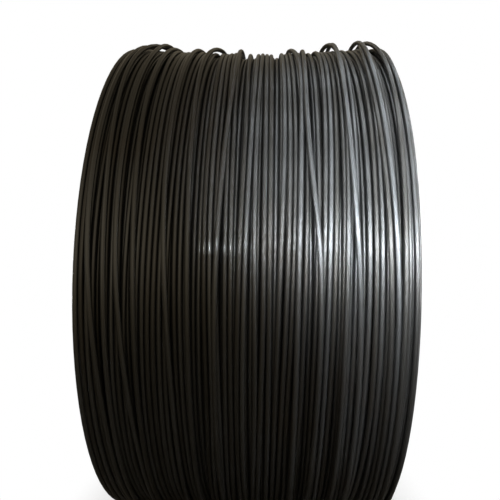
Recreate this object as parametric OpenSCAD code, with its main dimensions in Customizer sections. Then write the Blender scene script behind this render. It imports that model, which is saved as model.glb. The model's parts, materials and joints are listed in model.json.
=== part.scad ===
// Coil of wire rod lying on its side, wound in nested layers round an open bore, as one turned solid.
// Millimetres, +Z up. The axis of the coil runs along X and the coil rests on z = 0.

/* [Rod] */
// Diameter of the rod
rod_d = 6.5; // [5.5:0.5:10]

/* [Coil] */
// Diameter of the open bore through the coil
bore_d = 480; // [400:5:600]
// Layers of rod from the bore to the outside
layers = 25; // [9:2:35]
// Turns side by side in a full layer
turns = 58; // [30:1:80]
// How far the outer layer dips in the middle of the coil
dip = 8; // [0:0.5:14]
// How far neighbouring turns run into each other, so that the coil is one solid
turn_fuse = 0.2; // [0.1:0.05:0.5]

/* [Hidden] */
// Radius of the ridge that each turn shows
ridge_r = (rod_d + turn_fuse) / 2;
// Each layer lies in the hollows of the one below
layer_step = rod_d * sqrt(3) / 2;
// Radius of the bore
bore_r = bore_d / 2;
// Layer that the outside shows
last_layer = layers - 1;
// Radius of the coil over its end turns
coil_r = layer_r(last_layer) + ridge_r;
// Half width of the flat crest of each turn in the bore
crest_half = 0.45 * ridge_r;
// Depth of the groove between two turns in the bore
groove = 0.7 * ridge_r;
// Sides of the section of one turn, a multiple of four so that neighbours meet at their corners
ridge_fn = 12;
// Facets round the whole coil
coil_fn = 96;

// Radius at which the rod of layer j is centred
function layer_r(j) = bore_r + ridge_r + j * layer_step;

// Turns in layer j, one fewer in every other layer
function layer_turns(j) = turns - j % 2;

// Distance of the last turn of layer j from the middle of the coil
function layer_end(j) = (layer_turns(j) - 1) * rod_d / 2;

// Position of turn i along the outer layer
function turn_at(i) = i * rod_d - layer_end(last_layer);

// Radius at which turn i of the outer layer is centred
function turn_r(i) = layer_r(last_layer) - dip * (1 - pow(turn_at(i) / layer_end(last_layer), 2));

// Rod centres down one end of the coil, from the outer layer to the inner one
function end_centres() = [for (j = [last_layer - 1:-1:0]) [layer_r(j), layer_end(j)]];

// Rod centres across the outside of the coil
function outer_centres() = [for (i = [0:layer_turns(last_layer) - 1]) [turn_r(i), turn_at(i)]];

// Crest of turn i in the bore, no longer than the coil, and the groove after it
function bore_turn(i) =
    let (at = layer_end(0) - i * rod_d)
    concat(
        [[bore_r, min(at + crest_half, layer_end(0))], [bore_r, max(at - crest_half, -layer_end(0))]],
        i < layer_turns(0) - 1 ? [[bore_r + groove, at - rod_d / 2]] : []
    );

// Turns that line the bore
function bore_profile() = [for (i = [0:layer_turns(0) - 1]) each bore_turn(i)];

// Half section of the coil with radius along X and its axis along Y
module winding_section() {
    near_end = end_centres();
    far_end = [for (k = [len(near_end) - 1:-1:0]) [near_end[k][0], -near_end[k][1]]];
    outside = outer_centres();
    polygon(concat(far_end, outside, near_end, bore_profile()));
    for (c = concat(far_end, outside, near_end)) {
        translate(c) circle(r = ridge_r, $fn = ridge_fn);
    }
}

// The whole coil, turned about its axis and laid on the ground
module wire_coil() {
    color([0.19, 0.19, 0.20])
        translate([0, 0, coil_r])
            rotate([0, 90, 0])
                rotate_extrude($fn = coil_fn)
                    winding_section();
}

wire_coil();
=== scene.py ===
"""Coil of dark wire rod: its windings, finish, studio and camera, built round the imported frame."""

from __future__ import annotations

import json
import logging
import math
from abc import ABC, abstractmethod
from dataclasses import dataclass, field
from enum import Enum
from typing import Iterable, Sequence, Union

import bpy
import numpy as np
from mathutils import Matrix, Vector


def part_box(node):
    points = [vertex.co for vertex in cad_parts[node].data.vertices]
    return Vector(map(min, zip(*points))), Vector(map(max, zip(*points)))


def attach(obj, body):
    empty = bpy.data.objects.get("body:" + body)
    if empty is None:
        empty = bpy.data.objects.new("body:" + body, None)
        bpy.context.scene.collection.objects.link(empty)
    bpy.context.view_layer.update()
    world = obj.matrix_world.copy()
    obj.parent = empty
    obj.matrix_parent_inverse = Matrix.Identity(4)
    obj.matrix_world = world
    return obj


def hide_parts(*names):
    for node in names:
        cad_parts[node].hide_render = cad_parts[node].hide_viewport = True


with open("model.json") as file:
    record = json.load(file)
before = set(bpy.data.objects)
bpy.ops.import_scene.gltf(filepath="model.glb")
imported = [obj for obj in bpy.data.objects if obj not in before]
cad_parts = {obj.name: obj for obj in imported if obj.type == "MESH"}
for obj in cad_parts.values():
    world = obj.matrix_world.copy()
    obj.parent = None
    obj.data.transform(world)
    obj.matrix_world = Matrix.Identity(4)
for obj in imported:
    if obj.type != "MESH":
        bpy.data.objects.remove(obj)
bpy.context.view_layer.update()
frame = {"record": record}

log = logging.getLogger("wire_coil")

COIL_NODE = "wire_coil"
BODY = "root"
IMAGE_SIDE = 500
SENSOR_MM = 36.0
MM_PER_M = 1000
FULL_TURN = 2 * math.pi
FULL_DEG = 360
# Angle of the floor round the coil's axis, from the side that faces the photograph
FLOOR_DEG = -90
# Stations to each side over which kinks of the rod are rounded off
SOFT_REACH = 3
ALONG_BORE = Vector((1.0, 0.0, 0.0))

Number = Union[int, float]
Span = tuple[float, float]
Scale = tuple[float, float, float]
Colour = tuple[float, float, float]
Point = tuple[float, float, float]
Place = Union[Point, Vector]

WHITE: Colour = (1.0, 1.0, 1.0)


class End(Enum):
    """An end of the coil, by the sign of its place along the bore."""

    LEFT = -1
    RIGHT = 1


class Term:
    """A node socket that takes part in Python expressions, each operator adding a Math node."""

    def __init__(self, sheet: NodeSheet, socket: bpy.types.NodeSocket) -> None:
        """Wraps a socket.

        Args:
            sheet: the node sheet that the socket is on.
            socket: the output socket.
        """
        self.sheet = sheet
        self.socket = socket

    def _math(self, operation: str, first: Operand, second: Operand) -> Term:
        """Adds a Math node.

        Args:
            operation: the Math node's operation.
            first: its first value or link.
            second: its second value or link.

        Returns:
            The node's result.
        """
        return self.sheet.node("ShaderNodeMath", {"operation": operation}, {0: first, 1: second})

    def __add__(self, other: Operand) -> Term:
        """The sum."""
        return self._math("ADD", self, other)

    def __radd__(self, other: Operand) -> Term:
        """The sum, from the right."""
        return self._math("ADD", other, self)

    def __sub__(self, other: Operand) -> Term:
        """The difference."""
        return self._math("SUBTRACT", self, other)

    def __rsub__(self, other: Operand) -> Term:
        """The difference, from the right."""
        return self._math("SUBTRACT", other, self)

    def __mul__(self, other: Operand) -> Term:
        """The product."""
        return self._math("MULTIPLY", self, other)

    def __rmul__(self, other: Operand) -> Term:
        """The product, from the right."""
        return self._math("MULTIPLY", other, self)

    def above(self, other: Operand) -> Term:
        """The greater of the two."""
        return self._math("MAXIMUM", self, other)


Operand = Union[Number, Term]


class NodeSheet:
    """The node tree of one material or world, to which every node is added by one method.

    MIX_COLOURS and MIX_RESULT are the numbers of a Mix node's colour sockets.
    """

    MIX_COLOURS = (6, 7)
    MIX_RESULT = 2

    def __init__(self, tree: bpy.types.NodeTree) -> None:
        """Empties the tree.

        Args:
            tree: the tree to fill.
        """
        self.tree = tree
        self.tree.nodes.clear()

    def node(
        self,
        kind: str,
        settings: dict[str, object] | None = None,
        inputs: dict[str | int, object] | None = None,
        output: str | int = 0,
    ) -> Term:
        """Adds a node.

        Args:
            kind: the node's type name.
            settings: its properties, which are set first.
            inputs: a value or a Term for each named or numbered socket.
            output: the output to return.

        Returns:
            The chosen output as a Term, or the first input of a node that has no output.
        """
        made = self.tree.nodes.new(kind)
        for name, value in (settings or {}).items():
            setattr(made, name, value)
        for name, value in (inputs or {}).items():
            if isinstance(value, Term):
                self.tree.links.new(value.socket, made.inputs[name])
            else:
                made.inputs[name].default_value = value
        return Term(self, made.outputs[output]) if made.outputs else Term(self, made.inputs[0])

    def axis(self, vector: Term, name: str) -> Term:
        """The part of a vector along the named axis."""
        return self.node("ShaderNodeSeparateXYZ", None, {0: vector}, name)

    def mix_colour(self, share: Operand, first: object, second: object) -> Term:
        """Mixes two colours.

        Args:
            share: how much of the second colour shows.
            first: a colour or a Term.
            second: a colour or a Term.

        Returns:
            The mixed colour.
        """
        settings = {"data_type": "RGBA", "blend_type": "MIX"}
        ends = [c if isinstance(c, Term) else (*c, 1.0) for c in (first, second)]
        inputs = {0: share, **dict(zip(self.MIX_COLOURS, ends))}
        return self.node("ShaderNodeMix", settings, inputs, self.MIX_RESULT)

    def ramp(self, value: Operand, low: float, high: float) -> Term:
        """Runs a value smoothly from 0 at low to 1 at high.

        Args:
            value: the value to map.
            low: where the result is 0.
            high: where the result is 1.

        Returns:
            The mapped value.
        """
        settings = {"interpolation_type": "SMOOTHSTEP"}
        inputs = {"Value": value, "From Min": low, "From Max": high}
        return self.node("ShaderNodeMapRange", settings, inputs)


@dataclass(frozen=True)
class RodFinish:
    """The finish of drawn steel rod: dark oiled steel with draw marks and a brown bloom in places.

    A span holds the values between which a change runs, a share is how much one noise adds to
    another, and the marks' scales are how often they change along the rod and round it.
    """

    name: str = "dark_oiled_rod"
    dark: Colour = (0.080, 0.077, 0.073)
    light: Colour = (0.140, 0.142, 0.146)
    bloom: Colour = (0.085, 0.058, 0.034)
    metallic: float = 0.85
    roughness: float = 0.31
    roughness_spread: float = 0.12
    bloom_roughness: float = 0.16
    oil: float = 0.12
    oil_roughness: float = 0.16
    tone_per_metre: float = 0.45
    tone_share: float = 0.8
    mark_share: float = 0.4
    shade_span: Span = (0.45, 0.77)
    draw_marks: Scale = (1.2, 3.0, 3.0)
    fine_marks: Scale = (2.0, 8.0, 8.0)
    mark_detail: float = 2.0
    mark_depth: float = 0.0002
    mark_strength: float = 0.55
    draw_height: float = 0.6
    fine_height: float = 0.4
    stain_scale: Scale = (7.0, 7.0, 7.0)
    stain_detail: float = 5.0
    stain_fringe: float = 0.35
    stain_span: Span = (0.52, 0.78)
    most_bloom: float = 0.35
    noise_middle: float = 0.5

    def material(self) -> bpy.types.Material:
        """Builds the material.

        Returns:
            The finished material.
        """
        made = bpy.data.materials.new(self.name)
        made.use_nodes = True
        sheet = NodeSheet(made.node_tree)
        rod = sheet.node("ShaderNodeAttribute", {"attribute_name": RodMesh.COORDS}, output="Vector")
        marks = self._noise(sheet, rod, self.draw_marks, self.mark_detail)
        fine = self._noise(sheet, rod, self.fine_marks, self.mark_detail)
        bloom = self._bloom_share(sheet, fine)
        height = marks * self.draw_height + fine * self.fine_height
        relief = {"Strength": self.mark_strength, "Distance": self.mark_depth, "Height": height}
        shader = sheet.node(
            "ShaderNodeBsdfPrincipled",
            None,
            {
                "Base Color": sheet.mix_colour(bloom, self._steel(sheet, rod, marks), self.bloom),
                "Metallic": self.metallic,
                "Roughness": self.roughness + self.roughness_spread * fine + self.bloom_roughness * bloom,
                "Coat Weight": self.oil,
                "Coat Roughness": self.oil_roughness,
                "Normal": sheet.node("ShaderNodeBump", None, relief),
            },
        )
        sheet.node("ShaderNodeOutputMaterial", None, {"Surface": shader})
        return made

    def _steel(self, sheet: NodeSheet, rod: Term, marks: Term) -> Term:
        """Mixes dark and light steel along the rod.

        Args:
            sheet: the node sheet.
            rod: the coordinates along the rod and round it.
            marks: the draw marks.

        Returns:
            The steel's colour.
        """
        tone = self._noise_along(sheet, sheet.axis(rod, "X") * self.tone_per_metre)
        shade = sheet.ramp(tone * self.tone_share + marks * self.mark_share, *self.shade_span)
        return sheet.mix_colour(shade, self.dark, self.light)

    def _bloom_share(self, sheet: NodeSheet, fine: Term) -> Term:
        """Spreads the brown bloom in stains whose edges the fine marks break up.

        Args:
            sheet: the node sheet.
            fine: the fine marks.

        Returns:
            How much of the bloom shows.
        """
        place = sheet.node("ShaderNodeTexCoord", None, None, "Object")
        stain = self._noise(sheet, place, self.stain_scale, self.stain_detail)
        edge = (fine - self.noise_middle) * self.stain_fringe
        return sheet.ramp(stain + edge, *self.stain_span) * self.most_bloom

    @staticmethod
    def _noise(sheet: NodeSheet, place: Term, scale: Scale, detail: float) -> Term:
        """Adds noise at its own scale along each axis.

        Args:
            sheet: the node sheet.
            place: the coordinates.
            scale: how often the noise repeats along each axis.
            detail: the noise's octaves.

        Returns:
            The noise, from 0 to 1.
        """
        settings = {"operation": "MULTIPLY"}
        scaled = sheet.node("ShaderNodeVectorMath", settings, {0: place, 1: scale})
        return sheet.node("ShaderNodeTexNoise", None, {"Vector": scaled, "Scale": 1.0, "Detail": detail})

    def _noise_along(self, sheet: NodeSheet, run: Term) -> Term:
        """Adds noise that changes along the rod alone.

        Args:
            sheet: the node sheet.
            run: the place along the rod, at the noise's own scale.

        Returns:
            The noise, from 0 to 1.
        """
        settings = {"noise_dimensions": "1D"}
        inputs = {"W": run, "Scale": 1.0, "Detail": self.mark_detail}
        return sheet.node("ShaderNodeTexNoise", settings, inputs)


@dataclass(frozen=True)
class CoilSize:
    """The coil's sizes, in metres, from the frame and the rod's diameter.

    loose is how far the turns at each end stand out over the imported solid, as loosely wound ones do.
    """

    outer_r: float
    half_width: float
    bore_r: float
    rod_d: float = 0.0065
    dip: float = 0.008
    loose: float = 0.0025

    @classmethod
    def from_frame(cls) -> CoilSize:
        """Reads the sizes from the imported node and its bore.

        Returns:
            The coil's sizes.
        """
        low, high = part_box(COIL_NODE)
        bore = next(m for m in frame["record"]["mounts"] if m["kind"] == "bore")
        return cls((high.z - low.z) / 2, (high.x - low.x) / 2, bore["dims"]["r_mm"] / MM_PER_M)

    @property
    def rod_r(self) -> float:
        """Radius of the rod."""
        return self.rod_d / 2

    @property
    def axis_z(self) -> float:
        """Height of the coil's axis over the floor."""
        return self.outer_r

    @property
    def layer_step(self) -> float:
        """Step from one layer to the next, each lying in the hollows of the one below."""
        return self.rod_d * math.sqrt(3) / 2

    @property
    def layers(self) -> int:
        """Layers from the bore to the outside."""
        return 1 + round((self.outer_r - self.bore_r - self.rod_d) / self.layer_step)

    @property
    def end_x(self) -> float:
        """Place of the last turn's middle along the bore."""
        return self.half_width + self.loose - self.rod_r

    def layer_r(self, layer: float) -> float:
        """Radius of the rod's middle in a layer, counted from the bore."""
        return self.bore_r + self.rod_r + layer * self.layer_step

    def outer_dip(self, along: np.ndarray) -> np.ndarray:
        """How far the outside dips at places along the bore."""
        return self.dip * (1 - np.clip(along / self.end_x, -1, 1) ** 2)


@dataclass
class RodPath:
    """A stretch of rod round the coil, station by station.

    turn counts turns from the side that faces the photograph, along is the place along the bore
    and radius the distance of the rod's middle from the coil's axis.
    """

    turn: np.ndarray
    along: np.ndarray
    radius: np.ndarray

    def radial(self) -> np.ndarray:
        """Unit vectors from the axis to each station."""
        angle = self.turn * FULL_TURN
        return np.stack([np.zeros_like(angle), -np.cos(angle), np.sin(angle)], 1)

    def centres(self, axis_z: float) -> np.ndarray:
        """Middle of the rod at each station.

        Args:
            axis_z: height of the coil's axis.

        Returns:
            One point for each station.
        """
        points = self.radial() * self.radius[:, None]
        points[:, 0] += self.along
        points[:, 2] += axis_z
        return points

    @classmethod
    def joined(cls, legs: Sequence[RodPath], reach: int) -> RodPath:
        """Joins legs end to end, with an even climb from each to the next.

        Args:
            legs: the legs, each starting at the angle at which the last one ends.
            reach: stations on each side of a joint that the climb takes.

        Returns:
            One path.
        """
        turn, along, radius = (
            np.concatenate([getattr(leg, name) for leg in legs]) for name in ("turn", "along", "radius")
        )
        climb = smooth_step(np.linspace(0, 1, 2 * reach))
        for joint in np.cumsum([len(leg.turn) for leg in legs])[:-1]:
            before, after = joint - reach, joint + reach
            for values in (along, radius):
                values[before:after] = values[before] + climb * (values[after] - values[before])
        return cls(turn, along, radius)


class Wander:
    """Smooth seeded noise along the rod, as a spline through random knots, four for each place."""

    SPLINE_KNOTS = 4

    def __init__(self, rng: np.random.Generator, turns: float, knots_per_turn: float) -> None:
        """Draws the knots.

        Args:
            rng: the seeded source.
            turns: how many turns the noise covers.
            knots_per_turn: how often it changes.
        """
        self.knots_per_turn = knots_per_turn
        self.values = rng.normal(size=int(turns * knots_per_turn) + self.SPLINE_KNOTS + 2)

    def at(self, turn: np.ndarray) -> np.ndarray:
        """The noise at places along the rod.

        Args:
            turn: turns since the rod's start.

        Returns:
            The noise, with a spread of about 1.
        """
        place = np.clip(turn * self.knots_per_turn, 0, len(self.values) - self.SPLINE_KNOTS - 1)
        first = place.astype(int)
        t = place - first
        a, b, c, d = (self.values[first + k] for k in range(self.SPLINE_KNOTS))
        return b + 0.5 * t * (c - a + t * (2 * a - 5 * b + 4 * c - d + t * (3 * (b - c) + d - a)))


def smooth_step(value: np.ndarray) -> np.ndarray:
    """Runs values smoothly from 0 to 1 between 0 and 1."""
    t = np.clip(value, 0, 1)
    return t * t * (3 - 2 * t)


def softened(values: np.ndarray, reach: int) -> np.ndarray:
    """Rounds off the kinks of a run of values.

    Args:
        values: the values along the rod.
        reach: stations on each side that count.

    Returns:
        The softened values.
    """
    kernel = np.hanning(2 * reach + 3)[1:-1]
    padded = np.pad(values, reach, mode="edge")
    return np.convolve(padded, kernel / kernel.sum(), mode="valid")


class RodMesh:
    """Turns stretches of rod into one mesh of round tubes, with coordinates for its finish.

    On the bake map each turn has a row, and the closed ends of a stretch share a spot of its last row.
    """

    COORDS = "rod_coords"
    BAKE_MAP = "OFBake"
    ROW_MARGIN = 0.04
    SPOT_PLACE = 0.005
    SPOT_HALF_WIDTH = 0.004
    SPOT_HALF_HEIGHT = 0.4

    def __init__(self, coil: CoilSize, stations: int, sides: int) -> None:
        """Sets the fineness.

        Args:
            coil: the coil's sizes.
            stations: stations in one turn.
            sides: sides of the rod's section.
        """
        self.coil = coil
        self.stations = stations
        self.sides = sides
        self.points: list[np.ndarray] = []
        self.faces: list[list[int]] = []
        self.coords: list[np.ndarray] = []
        self.places: list[np.ndarray] = []
        self.rows = 0
        self.run = 0.0

    def add(self, path: RodPath) -> None:
        """Adds one stretch of rod with both its ends closed.

        Args:
            path: the stretch.
        """
        centres = path.centres(self.coil.axis_z)
        tangent = np.gradient(centres, axis=0)
        tangent /= np.linalg.norm(tangent, axis=1)[:, None]
        out = path.radial()
        out -= (out * tangent).sum(1)[:, None] * tangent
        out /= np.linalg.norm(out, axis=1)[:, None]
        side = np.cross(tangent, out)
        angle = np.arange(self.sides) / self.sides * FULL_TURN
        ring = out[:, None] * np.cos(angle)[:, None] + side[:, None] * np.sin(angle)[:, None]
        first = sum(len(p) for p in self.points)
        self.points.append((centres[:, None] + ring * self.coil.rod_r).reshape(-1, 3))
        steps = np.linalg.norm(np.diff(centres, axis=0), axis=1)
        run = self.run + np.concatenate([[0.0], np.cumsum(steps)])
        self.run = run[-1]
        around = np.broadcast_to(np.stack([np.cos(angle), np.sin(angle)], 1), (len(run), self.sides, 2))
        along = np.broadcast_to(run[:, None, None], (len(run), self.sides, 1))
        self.coords.append(np.concatenate([along, around], 2).reshape(-1, 3))
        self._add_faces(first, len(centres))

    def _add_faces(self, first: int, count: int) -> None:
        """Adds a tube's faces and their places on the bake map, one row of the map for each turn.

        Args:
            first: number of the tube's first point.
            count: stations in the tube.
        """
        sides = self.sides
        station, side = np.meshgrid(np.arange(count - 1), np.arange(sides), indexing="ij")
        after = (side + 1) % sides
        near, far = first + station * sides, first + (station + 1) * sides
        quads = np.stack([near + side, far + side, far + after, near + after], 2).reshape(-1, 4)
        self.faces += quads.tolist()
        row = self.rows + station // self.stations
        left = (station % self.stations) / self.stations
        right = left + 1 / self.stations
        band = 1 - 2 * self.ROW_MARGIN
        low = row + self.ROW_MARGIN + band * side / sides
        high = row + self.ROW_MARGIN + band * (side + 1) / sides
        across = np.stack([left, right, right, left], 2).reshape(-1)
        up = np.stack([low, low, high, high], 2).reshape(-1)
        self.places.append(np.stack([across, up], 1))
        self.rows += -(-(count - 1) // self.stations)
        self._close_end(first, 1)
        self._close_end(first + (count - 1) * sides, -1)

    def _close_end(self, first: int, order: int) -> None:
        """Closes one end of a tube.

        Args:
            first: number of the first point of the ring at that end.
            order: 1 where the face takes the points in order, and -1 where it takes them backwards.
        """
        point = np.arange(self.sides)[::order]
        self.faces.append((first + point).tolist())
        angle = point / self.sides * FULL_TURN
        across = self.SPOT_PLACE + self.SPOT_HALF_WIDTH * np.cos(angle)
        up = self.rows - 0.5 + self.SPOT_HALF_HEIGHT * np.sin(angle)
        self.places.append(np.stack([across, up], 1))

    def build(self, name: str, material: bpy.types.Material) -> bpy.types.Object:
        """Makes the object.

        Args:
            name: the piece's name.
            material: its finish.

        Returns:
            The piece, riding on the coil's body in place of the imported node.
        """
        mesh = bpy.data.meshes.new(name)
        mesh.from_pydata(np.concatenate(self.points).tolist(), [], self.faces)
        mesh.shade_smooth()
        coords = mesh.attributes.new(self.COORDS, "FLOAT_VECTOR", "POINT")
        coords.data.foreach_set("vector", np.concatenate(self.coords).astype(np.float32).ravel())
        places = np.concatenate(self.places)
        places[:, 1] /= self.rows
        layer = mesh.uv_layers.new(name=self.BAKE_MAP)
        layer.uv.foreach_set("vector", places.astype(np.float32).ravel())
        mesh.materials.append(material)
        return stand_for_coil(bpy.data.objects.new(name, mesh))


def stand_for_coil(piece: bpy.types.Object) -> bpy.types.Object:
    """Puts a piece in the scene, on the coil's body and in place of its node.

    Args:
        piece: the new piece.

    Returns:
        The same piece.
    """
    bpy.context.scene.collection.objects.link(piece)
    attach(piece, BODY)
    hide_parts(COIL_NODE)
    return piece


@dataclass
class Winding(ABC):
    """A part of the coil's winding, which makes its own pieces."""

    coil: CoilSize

    @abstractmethod
    def build(self, material: bpy.types.Material) -> list[bpy.types.Object]:
        """Makes the pieces.

        Args:
            material: the rod's finish.

        Returns:
            The pieces, in the scene.
        """


@dataclass
class Bed:
    """The rod laid so far, station by station round the coil, which carries what is laid next."""

    coil: CoilSize
    stations: int
    touch: float = 0.985
    reach: int = 9
    stiffness: float = 0.25
    laid: np.ndarray = field(init=False)

    def __post_init__(self) -> None:
        """Starts with nothing laid."""
        self.laid = np.empty((2, 0, self.stations))

    def lay(self, along: np.ndarray, least: np.ndarray) -> np.ndarray:
        """Lays rod over what is there, bridging hollows as stiff rod does.

        Args:
            along: place along the bore at each station of whole turns.
            least: the least radius at each station.

        Returns:
            The radius at each station.
        """
        count, under = len(along), self.laid.shape[1]
        fresh = np.full((2, count // self.stations, self.stations), np.inf)
        beds = np.concatenate([self.laid, fresh], 1)
        clear = np.full(count, -np.inf)
        radius = np.zeros(count)
        offsets = np.arange(-self.reach, self.reach + 1)
        sag = self.stiffness * (offsets / self.stations * FULL_TURN * self.coil.outer_r) ** 2
        for n in range(-self.reach, count):
            ahead = n + self.reach
            if ahead < count:
                below = self._clear_of(beds[:, :, ahead % self.stations], along[ahead])
                clear[ahead] = max(least[ahead], below)
            if n >= 0:
                radius[n] = (clear[np.clip(n + offsets, 0, count - 1)] - sag).max()
                beds[:, under + n // self.stations, n % self.stations] = along[n], radius[n]
        radius = softened(radius, SOFT_REACH)
        beds[:, under:] = np.stack([along, radius]).reshape(2, -1, self.stations)
        self.laid = beds
        return radius

    def _clear_of(self, laid: np.ndarray, along: float) -> float:
        """The least radius at which a rod clears what lies at one station.

        Args:
            laid: places along the bore and radii of what lies there.
            along: the new rod's place along the bore.

        Returns:
            The radius, or minus infinity where nothing is in the way.
        """
        reach = self.coil.rod_d * self.touch
        apart = np.abs(laid[0] - along)
        near = apart < reach
        if not near.any():
            return -np.inf
        return float((laid[1][near] + np.sqrt(reach**2 - apart[near] ** 2)).max())


@dataclass(frozen=True)
class Stray:
    """A slack strand over the rest, which swings to one side and may stand off the coil at one angle.

    front_mm is its place along the bore at the front of the coil, at_deg the angle above the axis at
    which it swings, spread_deg the stretch that this takes, and swing and lift are in metres.
    """

    front_mm: float
    at_deg: float
    swing: float = 0.0
    lift: float = 0.0
    spread_deg: float = 13.0


@dataclass(frozen=True)
class Layer:
    """How one layer is wound.

    stray is how far a turn strays from its place, depth how many layers below the outside it lies,
    and inset how many rods it stops short of each end.
    """

    turns: int
    start: End
    stray: float
    depth: float
    inset: float = 0.0


@dataclass(frozen=True)
class Straying:
    """How turns stray from their places: all together in long waves, and each on its own.

    The knots are how often a turn's own straying changes in one turn, and wave_drift is how far a
    wave moves round the coil over one layer, in radians.
    """

    slow_knots: float = 3.5
    quick_knots: float = 7.0
    quick_share: float = 0.5
    wave_share: float = 0.8
    wave_drift: float = 2.5
    waves_per_turn: tuple[int, ...] = (1, 2)

    def draw(self, rng: np.random.Generator, turn: np.ndarray, count: int) -> np.ndarray:
        """Draws the straying of one layer.

        Args:
            rng: the seeded source.
            turn: turn number of each station.
            count: the turns in the layer.

        Returns:
            The straying, with a spread of about 1.
        """
        wound = turn - turn[0]
        waves = np.zeros_like(turn)
        for number in self.waves_per_turn:
            size = rng.normal()
            phase = rng.uniform(0, FULL_TURN)
            drift = rng.normal(0, self.wave_drift) * wound / count
            waves += size * np.cos(number * turn * FULL_TURN + phase + drift)
        slow = Wander(rng, count, self.slow_knots).at(wound)
        quick = Wander(rng, count, self.quick_knots).at(wound)
        return slow + self.quick_share * quick + self.wave_share * waves


@dataclass
class OuterWinding(Winding):
    """The outside of the coil: two close layers, an open one over them, and slack strands on top.

    start_turn is where each layer starts, joint_reach the stations that a climb between layers takes
    to each side, calm_turns the turns at a layer's ends that stray less, move_turns the share of a
    turn in which the rod moves over from strand to strand, hang_deg how far from the floor turns hang
    down to it, least_down the sine of the angle below the axis from which the floor counts, and wave
    how far the rod waves in and out.
    """

    stations: int = 100
    sides: int = 8
    under_sides: int = 6
    seed: int = 11
    under: Layer = Layer(54, End.LEFT, 0.0015, 2.0, inset=1.0)
    lower: Layer = Layer(58, End.LEFT, 0.0010, 1.0)
    upper: Layer = Layer(46, End.RIGHT, 0.0045, 0.1)
    start_turn: float = -0.375
    joint_reach: int = 12
    tuck_turns: float = 0.10
    calm_turns: float = 3.0
    move_turns: float = 0.55
    hang_deg: float = 30.0
    least_down: float = 0.2
    wave: float = 0.0007
    waves_per_turn: float = 15.0
    straying: Straying = Straying()
    strand_stray: float = 0.0015
    strand_knots: float = 3.0
    swing_fade: float = 4.0
    strays: tuple[Stray, ...] = (
        Stray(-167.0, -8.0, swing=-0.009, spread_deg=20.0),
        Stray(-155.0, 67.0, swing=0.014, lift=0.003),
        Stray(-138.0, -12.0, swing=-0.010, spread_deg=22.0),
        Stray(-124.0, 12.0, swing=-0.006, spread_deg=26.0),
        Stray(-86.0, -2.0, swing=-0.008, spread_deg=22.0),
        Stray(-62.0, 66.0, swing=0.010, lift=0.002),
        Stray(-28.0, 20.0, swing=0.007, spread_deg=24.0),
        Stray(56.0, 63.0, swing=-0.009),
        Stray(76.0, 14.0, swing=-0.009, spread_deg=14.0),
        Stray(110.0, 69.0, swing=-0.009, lift=0.006),
        Stray(121.0, 8.0, swing=-0.008, spread_deg=22.0),
        Stray(158.0, 66.0, swing=0.012, lift=0.003),
        Stray(160.0, 16.0, swing=-0.007, spread_deg=28.0),
        Stray(171.0, 62.0, swing=-0.006),
    )

    def build(self, material: bpy.types.Material) -> list[bpy.types.Object]:
        """Lays the rod layer by layer and makes both pieces.

        Args:
            material: the rod's finish.

        Returns:
            The layer below, then the rod on top.
        """
        rng = np.random.default_rng(self.seed)
        bed = Bed(self.coil, self.stations)
        under = RodMesh(self.coil, self.stations, self.under_sides)
        under.add(self._full_layer(rng, bed, self.under))
        legs = [
            self._full_layer(rng, bed, self.lower),
            self._full_layer(rng, bed, self.upper),
            self._slack_strands(rng, bed),
        ]
        top = RodMesh(self.coil, self.stations, self.sides)
        top.add(self._tucked(RodPath.joined(legs, self.joint_reach)))
        return [under.build("under_turns", material), top.build("outer_turns", material)]

    def _tucked(self, path: RodPath) -> RodPath:
        """Leads both ends of the rod down between the turns below.

        Args:
            path: the rod's path.

        Returns:
            The path with its ends out of sight.
        """
        place = np.arange(len(path.turn))
        from_end = np.minimum(place, place[::-1]) / (self.tuck_turns * self.stations)
        sunk = self.coil.rod_d * (1 - smooth_step(from_end))
        return RodPath(path.turn, path.along, path.radius - sunk)

    def _turns_of(self, count: int) -> np.ndarray:
        """Turn numbers of the stations of whole turns."""
        return self.start_turn + np.arange(count * self.stations) / self.stations

    def _press_flat(self, turn: np.ndarray, radius: np.ndarray) -> np.ndarray:
        """Keeps rod off the floor, where the coil's weight presses it flat.

        Args:
            turn: turn number of each station.
            radius: radius at each station.

        Returns:
            The radius, with nothing below the floor.
        """
        down = np.maximum(-np.sin(turn * FULL_TURN), self.least_down)
        return np.minimum(radius, (self.coil.axis_z - self.coil.rod_r) / down)

    def _hang(self, turn: np.ndarray) -> np.ndarray:
        """How much of the dip is left at each station: none where turns hang down to the floor."""
        from_floor = (turn * FULL_DEG - FLOOR_DEG + FULL_DEG / 2) % FULL_DEG - FULL_DEG / 2
        return 1 - np.exp(-((from_floor / self.hang_deg) ** 2))

    def _full_layer(self, rng: np.random.Generator, bed: Bed, layer: Layer) -> RodPath:
        """Winds one layer from one end of the coil to the other.

        Args:
            rng: the seeded source.
            bed: what the layer lies on.
            layer: how it is wound.

        Returns:
            The layer's path.
        """
        coil, count = self.coil, layer.turns
        reach = coil.end_x - layer.inset * coil.rod_d
        turn = self._turns_of(count)
        wound = turn - turn[0]
        share = wound / (count - 1)
        calm = np.clip(np.minimum(wound, count - 1 - wound) / self.calm_turns, 0, 1)
        place = (2 * share - 1) * reach + calm * layer.stray * self.straying.draw(rng, turn, count)
        place = self._side_by_side(place.reshape(count, -1), reach, coil.rod_d).ravel()
        place = -layer.start.value * np.clip(softened(place, SOFT_REACH), -reach, reach)
        least = coil.layer_r(coil.layers - 1 - layer.depth) - coil.outer_dip(place) * self._hang(turn)
        wave = self.wave * Wander(rng, count, self.waves_per_turn).at(wound)
        return RodPath(turn, place, self._press_flat(turn, bed.lay(place, least) + wave))

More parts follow.
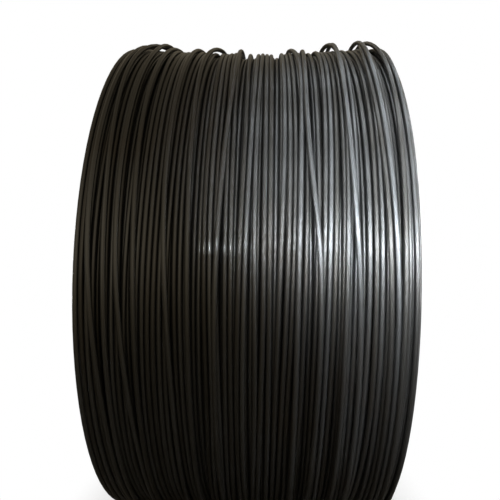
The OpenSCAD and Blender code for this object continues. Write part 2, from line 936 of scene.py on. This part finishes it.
    @staticmethod
    def _side_by_side(place: np.ndarray, reach: float, gap: float) -> np.ndarray:
        """Pushes turns apart, so that they lie beside each other.

        Args:
            place: the place of each turn, station by station, from the start.
            reach: how far they may reach along the bore to each side.
            gap: the least distance from turn to turn.

        Returns:
            The places, no two turns nearer than the gap.
        """
        count = len(place)
        for k in range(1, count):
            place[k] = np.maximum(place[k], place[k - 1] + gap)
        for k in range(count):
            place[k] = np.minimum(place[k], reach - (count - 1 - k) * gap)
        return place

    def _moved_over(self, wound: np.ndarray, fronts: np.ndarray) -> np.ndarray:
        """Leads rod behind the coil from one strand's place to the next.

        Args:
            wound: turns since the rod's start, at each station.
            fronts: place of each strand at the front of the coil.

        Returns:
            The place at each station.
        """
        place = np.full_like(wound, fronts[0])
        for k in range(1, len(fronts)):
            past_back = wound + self.start_turn - (k - 0.5)
            place += (fronts[k] - fronts[k - 1]) * smooth_step(past_back / self.move_turns + 0.5)
        return place

    def _slack_strands(self, rng: np.random.Generator, bed: Bed) -> RodPath:
        """Winds the last strands, which cross the rest at a slant and end behind the coil.

        Args:
            rng: the seeded source.
            bed: what they lie on.

        Returns:
            The strands' path.
        """
        coil = self.coil
        fronts = np.array([s.front_mm for s in self.strays]) / MM_PER_M
        count = len(fronts)
        turn = self._turns_of(count)
        wound = turn - turn[0]
        wander = Wander(rng, count, self.strand_knots).at(wound)
        place = self._moved_over(wound, fronts) + self.strand_stray * wander
        lift = np.zeros_like(place)
        for k, stray in enumerate(self.strays):
            off = ((wound + self.start_turn - k) * FULL_DEG - stray.at_deg) / stray.spread_deg
            lift += stray.lift * np.exp(-(off**2))
            place += stray.swing * np.tanh(off) * np.exp(-((off / self.swing_fade) ** 2))
        place = np.clip(place, -coil.end_x, coil.end_x)
        radius = bed.lay(place, np.full_like(place, coil.bore_r)) + lift
        return RodPath(turn, place, self._press_flat(turn, radius))


@dataclass
class EndTurns(Winding):
    """One end of the coil: the last turn of each layer, and the rod's climb from layer to layer.

    climb is the share of a turn that a climb takes, early how much of it comes before the turn ends,
    drift_deg how far the climb moves on from pair to pair, wobble how far a turn strays, rise_share
    how much of that is in and out, and proud how far the bulges of loose turns stand out.
    """

    end: End
    seed: int
    stations: int = 96
    sides: int = 8
    climb: float = 0.12
    early: float = 0.25
    drift_deg: float = 38.0
    drift_spread: Span = (0.5, 1.5)
    wobble: float = 0.0009
    wobble_knots: float = 3.0
    rise_share: float = 0.4
    proud: float = 0.0022
    bulge_knots: float = 1.6
    bulge_least: float = 0.7
    noise_turns: int = 3

    def build(self, material: bpy.types.Material) -> list[bpy.types.Object]:
        """Makes the end's piece.

        Args:
            material: the rod's finish.

        Returns:
            The one piece.
        """
        rng = np.random.default_rng(self.seed)
        mesh = RodMesh(self.coil, self.stations, self.sides)
        start = rng.uniform(0, 1)
        for layer in range(1, self.coil.layers - 2, 2):
            start += self.drift_deg / FULL_DEG * rng.uniform(*self.drift_spread)
            mesh.add(self._pair(rng, layer, start))
        return [mesh.build(f"{self.end.name.lower()}_end_turns", material)]

    def _pair(self, rng: np.random.Generator, layer: int, start: float) -> RodPath:
        """Winds the last turn of one layer and its climb to the first turn of the next.

        Args:
            rng: the seeded source.
            layer: the lower of the two layers.
            start: the turn at which the last turn starts.

        Returns:
            The path of both turns.
        """
        coil, climb = self.coil, self.climb
        last = 2 - self.early * climb
        wound = np.arange(-climb, last, 1 / self.stations)
        out = smooth_step(1 + wound / climb) * smooth_step((last - wound) / climb)
        up = smooth_step((wound - (1 - (1 + self.early) * climb)) / climb)
        inset = coil.rod_d * (1 - out) + self._inset(layer) * (1 - up) + self._inset(layer + 1) * up
        knots = (self.wobble_knots, self.bulge_knots, self.wobble_knots)
        stray, swell, rise = (Wander(rng, self.noise_turns, k).at(wound + climb) for k in knots)
        bulge = np.maximum(swell - self.bulge_least, 0)
        along = coil.end_x - inset + self.wobble * stray + self.proud * bulge
        radius = coil.layer_r(layer) + up * coil.layer_step + self.rise_share * self.wobble * rise
        return RodPath(start + wound, along * self.end.value, radius)

    def _inset(self, layer: int) -> float:
        """How far a layer's last turn lies in from the end, half a rod in every other layer."""
        return self.coil.rod_r * (layer % 2)


@dataclass
class BoreTurns(Winding):
    """The inner layer, which lines the bore.

    The knots are how often the straying changes in one turn, and radius_share is how much of it is
    away from the axis.
    """

    seed: int = 5
    stations: int = 96
    sides: int = 6
    start_turn: float = 0.3
    stray: float = 0.0004
    along_knots: float = 4.0
    radius_knots: float = 5.0
    radius_share: float = 0.5

    def build(self, material: bpy.types.Material) -> list[bpy.types.Object]:
        """Makes the lining.

        Args:
            material: the rod's finish.

        Returns:
            The one piece.
        """
        rng = np.random.default_rng(self.seed)
        coil = self.coil
        count = int(2 * coil.half_width / coil.rod_d)
        wound = np.arange(count * self.stations) / self.stations
        along = (2 * wound / wound[-1] - 1) * coil.end_x
        along += self.stray * Wander(rng, count, self.along_knots).at(wound)
        outwards = np.abs(Wander(rng, count, self.radius_knots).at(wound))
        radius = coil.layer_r(0) + self.radius_share * self.stray * outwards
        mesh = RodMesh(coil, self.stations, self.sides)
        mesh.add(RodPath(self.start_turn + wound, along, radius))
        return [mesh.build("bore_turns", material)]


@dataclass
class InnerLayers(Winding):
    """The layers between the bore and the outside, seen only between the turns that show.

    first_layer and layers_over are the layers at which the ring starts, counted from the bore, and
    ends, counted from the outside. shown_layers are those that other pieces show, end_rods is how far
    the ring stops short of the last turns, and outside_share the share of its outside that dips.
    """

    stations: int = 96
    first_layer: float = 0.7
    layers_over: float = 3.2
    shown_layers: int = 4
    end_rods: float = 1.1
    points_per_layer: int = 4
    ridge_share: float = 0.5
    outside_share: float = 0.9
    outside_points: int = 19

    def build(self, material: bpy.types.Material) -> list[bpy.types.Object]:
        """Makes a closed ring with a ridge for each hidden turn at its ends.

        Args:
            material: the rod's finish.

        Returns:
            The one piece.
        """
        coil = self.coil
        inner, outer = coil.layer_r(self.first_layer), coil.layer_r(coil.layers - self.layers_over)
        deep = coil.end_x - self.end_rods * coil.rod_d
        rise = np.arange(0, coil.layers - self.shown_layers, 1 / self.points_per_layer)
        ridge = coil.rod_r * self.ridge_share * np.abs(np.cos(rise * math.pi))
        radius = inner + (outer - inner) * rise / rise[-1]
        outside = np.linspace(self.outside_share, -self.outside_share, self.outside_points)
        section = [(r, deep + h) for r, h in zip(radius, ridge)]
        section += [(outer - coil.dip * (1 - t * t), deep * t) for t in outside]
        section += [(r, -deep - h) for r, h in zip(radius[::-1], ridge[::-1])]
        return [self._turned(np.array(section), material)]

    def _turned(self, section: np.ndarray, material: bpy.types.Material) -> bpy.types.Object:
        """Turns a closed section about the coil's axis.

        Args:
            section: radius and place along the bore of each corner.
            material: the finish.

        Returns:
            The ring.
        """
        count, corners = self.stations, len(section)
        angle = np.arange(count) / count * FULL_TURN
        radius, along = section.T
        points = np.stack(
            [
                np.broadcast_to(along, (count, corners)),
                -radius * np.cos(angle)[:, None],
                radius * np.sin(angle)[:, None] + self.coil.axis_z,
            ],
            2,
        ).reshape(-1, 3)
        station, corner = np.meshgrid(np.arange(count), np.arange(corners), indexing="ij")
        near, far = station * corners, (station + 1) % count * corners
        after = (corner + 1) % corners
        quads = np.stack([near + corner, near + after, far + after, far + corner], 2).reshape(-1, 4)
        mesh = bpy.data.meshes.new("inner_layers")
        mesh.from_pydata(points.tolist(), [], quads.tolist())
        mesh.shade_smooth()
        mesh.materials.append(material)
        return stand_for_coil(bpy.data.objects.new("inner_layers", mesh))


@dataclass(frozen=True)
class Lamp:
    """A soft rectangular lamp, with a grid that narrows its beam where spread is under 180 degrees."""

    name: str
    place: Place
    aim: Place
    width: float
    height: float
    watts: float
    spread_deg: float = 180.0
    colour: Colour = WHITE
    roll: float = 0.0

    def build(self) -> None:
        """Hangs the lamp with its width along the bore as far as can be, then rolls it about its beam."""
        data = bpy.data.lights.new(self.name, "AREA")
        data.shape = "RECTANGLE"
        data.size, data.size_y = self.width, self.height
        data.energy = self.watts
        data.spread = math.radians(self.spread_deg)
        data.color = self.colour
        back = (Vector(self.place) - Vector(self.aim)).normalized()
        across = (ALONG_BORE - back * back.x).normalized()
        turn = Matrix((across, back.cross(across), back)).transposed().to_4x4()
        lamp = bpy.data.objects.new(self.name, data)
        lamp.visible_camera = False
        lamp.matrix_world = Matrix.Translation(self.place) @ turn @ Matrix.Rotation(self.roll, 4, "Z")
        bpy.context.scene.collection.objects.link(lamp)


@dataclass(frozen=True)
class LampRow:
    """Lamps on an arc round the rod, which light one row of the coil's front and fade out to the left.

    rise_deg is the row's angle above the coil's axis, edge_x the place along the bore at which the
    beams are half as bright, slant how far that place moves to the left for each metre up, fade the
    length that the beams take to get bright, and level the light that each lamp gives, in watts per
    square metre.
    """

    name: str
    rise_deg: float
    level: float
    sides_deg: tuple[float, ...] = (-50.0, -25.0, 0.0, 25.0, 50.0, 75.0)
    edge_x: float = 0.02
    slant: float = 0.7
    fade: float = 0.24
    distance: float = 1.2
    width: float = 0.34
    height: float = 0.40
    colour: Colour = (0.86, 0.935, 1.0)

    def build(self, coil: CoilSize, eye: Vector) -> None:
        """Hangs the lamps where the row's rod mirrors them to the camera.

        Args:
            coil: the coil's sizes.
            eye: the camera's place.
        """
        rise = math.radians(self.rise_deg)
        out = Vector((0.0, -math.cos(rise), math.sin(rise)))
        rod = Vector((0.0, math.sin(rise), math.cos(rise)))
        row = Vector((self.edge_x, 0.0, coil.axis_z)) + out * coil.outer_r
        lean = -(eye - row).normalized().dot(rod)
        for side in self.sides_deg:
            turn = math.radians(side)
            around = out * math.cos(turn) + ALONG_BORE * math.sin(turn)
            back = rod * lean + around * math.sqrt(1 - lean**2)
            across = ALONG_BORE - back * back.x
            soft = self.fade / 2 * across.length
            roll = math.atan(self.slant * across.length)
            aim = row + across.normalized() * (self.width / 2 / math.cos(roll))
            watts = self.level * (self.width + soft) * (self.height + soft)
            spread = math.degrees(2 * math.atan(soft / self.distance))
            name = f"{self.name}_{side:+.0f}"
            place = aim + back * self.distance
            Lamp(name, place, aim, self.width, self.height, watts, spread, self.colour, roll).build()


@dataclass
class Studio:
    """A pale sweep behind and under the coil, soft lamps and a dim room.

    The steel mirrors the room, darker at its sides and ceiling, and the floor, with painted shade near
    the coil.
    The spans are the places, heights and directions over which these change, and back_span and
    back_rise those between which the steel mirrors white paper behind the coil.
    """

    room: Colour = (0.54, 0.47, 0.345)
    sides: Colour = (0.29, 0.25, 0.18)
    ceiling: Colour = (0.15, 0.125, 0.085)
    paper: Colour = (0.83, 0.83, 0.83)
    # Painted shade: the floor's colour in reflections alone, dark near the coil and lighter far off.
    painted_shade_paper: Colour = (0.14, 0.13, 0.11)
    far_paper: Colour = (0.62, 0.57, 0.47)
    far_span: Span = (-0.3, -2.0)
    back_span: Span = (0.5, 1.1)
    back_rise: Span = (0.5, 1.3)
    side_span: Span = (0.05, 0.6)
    ceiling_span: Span = (0.2, 0.9)
    shadow_reach: float = 0.12
    half_span: float = 9.0
    front_y: float = -9.0
    wall_y: float = 3.2
    wall_z: float = 2.75
    bend_r: float = 1.2
    bend_points: int = 13
    rows: tuple[LampRow, ...] = (
        LampRow("glint_row", 5.0, 0.37, (-25.0, 0.0, 25.0), -0.048, 0.0, 0.02, width=0.055, height=0.003),
        LampRow("low_row", 5.4, 1.42, (-50.0, -25.0, 0.0, 25.0, 50.0), edge_x=0.056),
        LampRow("second_row", 18.0, 0.167, edge_x=0.034, slant=0.35, fade=0.34),
        LampRow("third_row", 29.0, 0.151, edge_x=0.042, slant=0.2, fade=0.34),
        LampRow("fourth_row", 41.0, 0.058, edge_x=0.040, slant=0.2),
    )
    lamps: tuple[Lamp, ...] = (
        Lamp("back_left", (-0.9, 2.0, 0.55), (0.0, 0.3, 0.4), 0.9, 0.8, 9.0, 100.0),
        Lamp("back_right", (1.3, 1.7, 0.60), (0.1, 0.3, 0.4), 0.9, 0.8, 7.0, 100.0),
    )

    def build(self, coil: CoilSize, eye: Vector) -> None:
        """Sets up the sweep, the lamps, the room's light and the view transform.

        Args:
            coil: the coil's sizes.
            eye: the camera's place.
        """
        self._sweep()
        for row in self.rows:
            row.build(coil, eye)
        for lamp in self.lamps:
            lamp.build()
        bpy.context.scene.world = self._room()
        bpy.context.scene.view_settings.view_transform = "Standard"

    def _room(self) -> bpy.types.World:
        """Builds the room's light, which the camera sees as white.

        Returns:
            The world.
        """
        world = bpy.data.worlds.new("room")
        world.use_nodes = True
        sheet = NodeSheet(world.node_tree)
        seen = sheet.node("ShaderNodeLightPath", None, None, "Is Camera Ray")
        direction = sheet.node("ShaderNodeTexCoord", None, None, "Generated")
        aside = sheet.axis(direction, "X")
        height = sheet.axis(direction, "Z")
        level = sheet.mix_colour(sheet.ramp(aside * aside, *self.side_span), self.room, self.sides)
        around = sheet.mix_colour(sheet.ramp(height, *self.ceiling_span), level, self.ceiling)
        colour = sheet.mix_colour(seen, around, WHITE)
        light = sheet.node("ShaderNodeBackground", None, {"Color": colour, "Strength": 1.0})
        sheet.node("ShaderNodeOutputWorld", None, {"Surface": light})
        return world

    def _sweep(self) -> None:
        """Makes the floor and wall as one bent sheet of paper."""
        bend = np.linspace(0, math.pi / 2, self.bend_points)
        curve = [
            (self.wall_y - self.bend_r * (1 - math.sin(a)), self.bend_r * (1 - math.cos(a)))
            for a in bend
        ]
        profile = [(self.front_y, 0.0), *curve, (self.wall_y, self.wall_z)]
        points = [(x, y, z) for y, z in profile for x in (-self.half_span, self.half_span)]
        faces = [(2 * k, 2 * k + 1, 2 * k + 3, 2 * k + 2) for k in range(len(profile) - 1)]
        mesh = bpy.data.meshes.new("paper_sweep")
        mesh.from_pydata(points, [], faces)
        mesh.shade_smooth()
        mesh.materials.append(self._paper())
        sweep = bpy.data.objects.new("paper_sweep", mesh)
        bpy.context.scene.collection.objects.link(sweep)

    def _paper(self) -> bpy.types.Material:
        """Builds the paper: white to the camera, with the coil's shadow painted in by ambient occlusion,
        and to steel at the back.

        Returns:
            The paper's material.
        """
        made = bpy.data.materials.new("pale_paper")
        made.use_nodes = True
        sheet = NodeSheet(made.node_tree)
        seen = sheet.node("ShaderNodeLightPath", None, None, "Is Camera Ray")
        glossy = sheet.node("ShaderNodeLightPath", None, None, "Is Glossy Ray")
        through = sheet.node("ShaderNodeLightPath", None, None, "Is Transmission Ray")
        place = sheet.node("ShaderNodeNewGeometry", None, None, "Position")
        depth = sheet.axis(place, "Y")
        height = sheet.axis(place, "Z")
        # Painted shadow: ambient occlusion darkens the white that the camera sees near the coil.
        clear = sheet.node("ShaderNodeAmbientOcclusion", None, {"Distance": self.shadow_reach}, "AO")
        behind = sheet.ramp(depth, *self.back_span) * (1 - sheet.ramp(height, *self.back_rise))
        mirrored = glossy.above(through) * behind
        white = (seen * clear).above(mirrored)
        # Painted shade: glossy rays see the floor darker near the coil, in place of its shadow.
        ahead = sheet.mix_colour(sheet.ramp(depth, *self.far_span), self.painted_shade_paper, self.far_paper)
        colour = sheet.mix_colour(glossy, self.paper, ahead)
        lit = sheet.node("ShaderNodeBsdfDiffuse", None, {"Color": colour})
        glow = sheet.node("ShaderNodeEmission", None, {"Color": (*WHITE, 1.0), "Strength": 1.0})
        shader = sheet.node("ShaderNodeMixShader", None, {0: white, 1: lit, 2: glow})
        sheet.node("ShaderNodeOutputMaterial", None, {"Surface": shader})
        return made


@dataclass(frozen=True)
class PhotoCamera:
    """The photograph's camera, from a perspective fit of the coil's outline.

    Angles are in radians and the distance is in outer radii of the coil.
    """

    distance: float = 2.454
    focal_px: float = 513.8
    rise: float = 0.0088
    yaw: float = 0.0307
    pan: float = -0.0435
    tilt: float = 0.0374
    roll: float = 0.0153
    clip: Span = (0.01, 100.0)

    def build(self, coil: CoilSize) -> Vector:
        """Places the camera and makes it the scene's own.

        Args:
            coil: the coil's sizes.

        Returns:
            The camera's place.
        """
        data = bpy.data.cameras.new("photo_camera")
        data.sensor_width = SENSOR_MM
        data.lens = self.focal_px * SENSOR_MM / IMAGE_SIDE
        data.clip_start, data.clip_end = self.clip
        away = self._direction(self.yaw, self.rise)
        outwards = Vector((away.x, -away.y, away.z))
        eye = Vector((0, 0, coil.axis_z)) + outwards * self.distance * coil.outer_r
        forward = self._direction(self.pan, self.tilt)
        right = forward.cross(Vector((0, 0, 1))).normalized()
        up = right.cross(forward)
        level = right * math.cos(self.roll) + up * math.sin(self.roll)
        upright = up * math.cos(self.roll) - right * math.sin(self.roll)
        turn = Matrix((level, upright, -forward)).transposed().to_4x4()
        camera = bpy.data.objects.new("photo_camera", data)
        camera.matrix_world = Matrix.Translation(eye) @ turn
        bpy.context.scene.collection.objects.link(camera)
        bpy.context.scene.camera = camera
        return eye

    @staticmethod
    def _direction(sideways: float, upwards: float) -> Vector:
        """The unit vector at angles to the right of and above +Y.

        Args:
            sideways: angle to the right.
            upwards: angle above the horizon.

        Returns:
            The direction.
        """
        level = math.cos(upwards)
        return Vector((math.sin(sideways) * level, math.cos(sideways) * level, math.sin(upwards)))


def report(piece: bpy.types.Object) -> None:
    """Logs a piece's name and triangles."""
    log.info("%s: %d triangles", piece.name, sum(len(p.vertices) - 2 for p in piece.data.polygons))


def main() -> None:
    """Builds the camera, the coil and the studio, in order."""
    logging.basicConfig(level=logging.INFO, format="%(name)s: %(message)s")
    coil = CoilSize.from_frame()
    eye = PhotoCamera().build(coil)
    steel = RodFinish().material()
    windings: tuple[Winding, ...] = (
        OuterWinding(coil),
        EndTurns(coil, End.LEFT, seed=21),
        EndTurns(coil, End.RIGHT, seed=34),
        BoreTurns(coil),
        InnerLayers(coil),
    )
    for winding in windings:
        for piece in winding.build(steel):
            report(piece)
    Studio().build(coil, eye)


if __name__ == "__main__":
    main()
